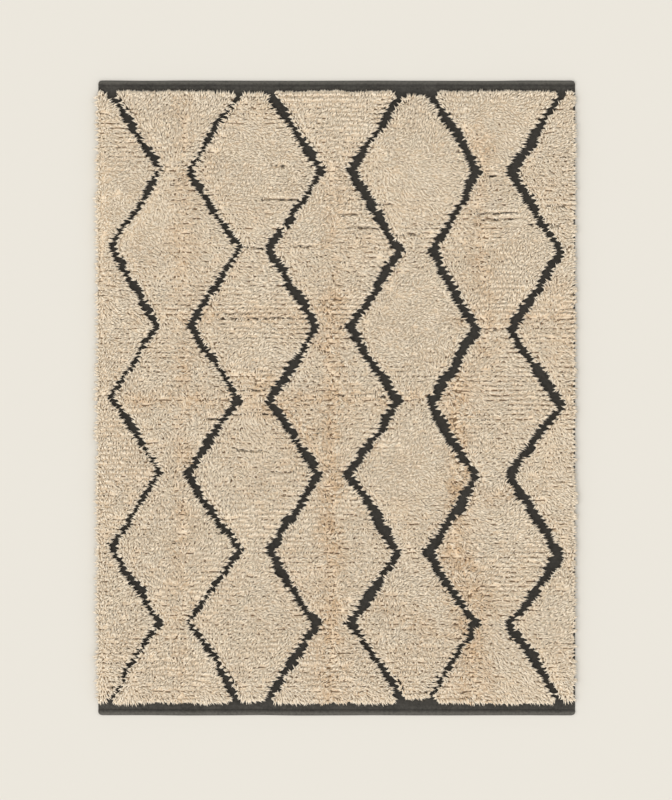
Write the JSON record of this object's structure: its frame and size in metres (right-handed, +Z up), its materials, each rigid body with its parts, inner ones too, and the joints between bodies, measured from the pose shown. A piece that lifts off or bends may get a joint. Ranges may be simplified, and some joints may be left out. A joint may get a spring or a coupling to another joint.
{
  "type": "kilim rug with shag pile",
  "caption": "Rectangular rug with a charcoal flatwoven ground, rolled end hems and cream shag pile fields parted by zigzag lines of bare ground into a diamond lattice.",
  "frame": {"origin": "centre of the rug's underside, on the floor", "axes": "+X across the rug's width, +Y along its length towards the far end, +Z up out of the pile"},
  "size_m": [1.534, 2, 0.0231],
  "materials": {
    "ground_wool": "matt charcoal wool flatweave",
    "pile_wool": "matt cream wool shag"
  },
  "bodies": {
    "root": {"ground": "ground_wool", "pile_1": "pile_wool", "pile_2": "pile_wool", "pile_3": "pile_wool", "pile_4": "pile_wool", "pile_5": "pile_wool", "pile_6": "pile_wool", "pile_7": "pile_wool"}
  },
  "joints": []
}
